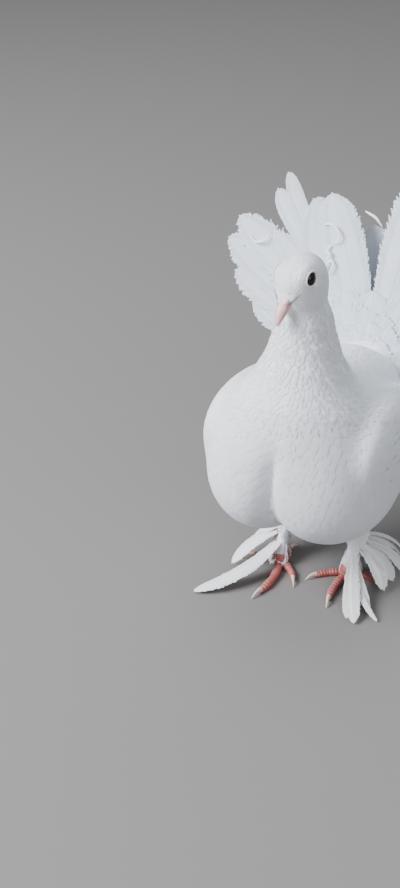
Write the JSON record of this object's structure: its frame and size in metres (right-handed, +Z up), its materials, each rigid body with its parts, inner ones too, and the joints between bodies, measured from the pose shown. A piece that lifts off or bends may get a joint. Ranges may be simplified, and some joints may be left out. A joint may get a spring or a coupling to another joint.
{
  "type": "fantail pigeon display model",
  "caption": "Still life-size white fantail pigeon with feathered legs, fan raised, standing on both feet",
  "frame": {"origin": "the middle of the bird's outline on the floor, under its feet and fan", "axes": "+Z up, the bird faces -Y, its left side is +X, its tail is toward +Y"},
  "size_m": [0.2205, 0.2253, 0.2319],
  "materials": {
    "plumage": "soft matt white feathers",
    "horn": "pale pink horn",
    "cere": "powdery off-white skin",
    "eye": "glossy near-black",
    "toe_skin": "coral red scaled skin",
    "claw_horn": "pale pinkish horn"
  },
  "bodies": {
    "root": {"torso": "plumage", "neck": "plumage", "head": "plumage", "wing_left": "plumage", "wing_right": "plumage", "leg_left": "plumage", "leg_right": "plumage", "tail": "plumage", "bill_upper": "horn", "bill_lower": "horn", "cere": "cere", "eye_left": "eye", "eye_right": "eye", "foot_left": "toe_skin", "toe_inner_left": "toe_skin", "claw_inner_left": "claw_horn", "toe_middle_left": "toe_skin", "claw_middle_left": "claw_horn", "toe_outer_left": "toe_skin", "claw_outer_left": "claw_horn", "toe_hind_left": "toe_skin", "claw_hind_left": "claw_horn", "foot_right": "toe_skin", "toe_inner_right": "toe_skin", "claw_inner_right": "claw_horn", "toe_middle_right": "toe_skin", "claw_middle_right": "claw_horn", "toe_outer_right": "toe_skin", "claw_outer_right": "claw_horn", "toe_hind_right": "toe_skin", "claw_hind_right": "claw_horn"}
  },
  "joints": []
}
